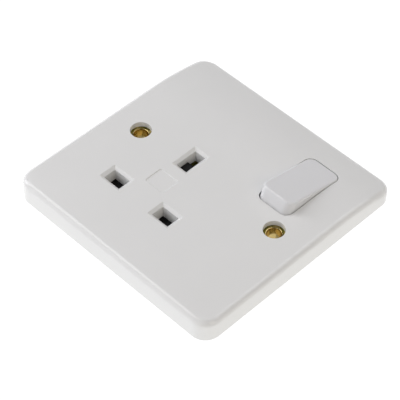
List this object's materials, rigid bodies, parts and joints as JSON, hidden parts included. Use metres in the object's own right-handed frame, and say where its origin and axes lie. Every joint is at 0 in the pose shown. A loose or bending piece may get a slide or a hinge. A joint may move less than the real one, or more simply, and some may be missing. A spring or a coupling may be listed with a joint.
{
  "type": "wall socket",
  "caption": "Square white wall socket with slots for flat pins, a rocker switch, fixing holes with brass eyelets and a shallow rear housing.",
  "frame": {"origin": "middle of the plate on the wall plane, halfway between the fixing holes", "axes": "+X to the right and +Y up as the socket is read on a wall, +Z out of the face"},
  "size_m": [0.086, 0.086, 0.0294],
  "materials": {
    "white_plastic": "gloss moulded thermoset",
    "rocker_plastic": "gloss moulded thermoset",
    "housing_plastic": "moulded, fine matt",
    "dark_plastic": "moulded, black",
    "brass": "drawn and turned brass",
    "bronze": "rolled spring bronze strip",
    "silver": "silver alloy contact",
    "steel": "zinc plated"
  },
  "bodies": {
    "housing": {"front_plate": "white_plastic", "rear_housing": "housing_plastic", "housing_screws": "steel", "fixing_eyelets": "brass", "earth_strap": "brass", "earth_contact": "bronze", "earth_terminal": "brass", "earth_screws": "brass", "neutral_contact": "bronze", "neutral_terminal": "brass", "neutral_screw": "brass", "line_contact": "bronze", "line_terminal": "brass", "line_screw": "brass", "lever_post": "brass", "fixed_contact": "brass", "fixed_tip": "silver", "shutter_spring": "steel"},
    "rocker": {"rocker": "rocker_plastic", "plunger_spring": "steel"},
    "plunger": {"plunger": "dark_plastic"},
    "lever": {"contact_lever": "bronze", "lever_tip": "silver"},
    "shutter": {"shutter": "dark_plastic"}
  },
  "joints": [
    {"name": "rocker_hinge", "type": "hinge", "parent": "housing", "child": "rocker", "pos_m": [0.02285, 0.0192, 0.0048], "axis": [1, 0, 0], "range_deg": [0, 18]},
    {"name": "lever_hinge", "type": "hinge", "parent": "housing", "child": "lever", "pos_m": [0.02285, 0.0185, -0.00753], "axis": [1, 0, 0], "range_deg": [-18, 0]},
    {"name": "plunger_slide", "type": "slide", "parent": "rocker", "child": "plunger", "axis": [0, 0.2215, 0.9751], "range_m": [0, 0.001], "stiffness_N_per_m": 800, "deforming": ["plunger_spring"]},
    {"name": "shutter_slide", "type": "slide", "parent": "housing", "child": "shutter", "axis": [0, -1, 0], "range_m": [0, 0.0058], "stiffness_N_per_m": 300, "springref_m": -0.002, "deforming": ["shutter_spring"]}
  ],
  "couplings": [
    {"joint": "lever_hinge", "follows": "rocker_hinge", "ratio": -1}
  ]
}
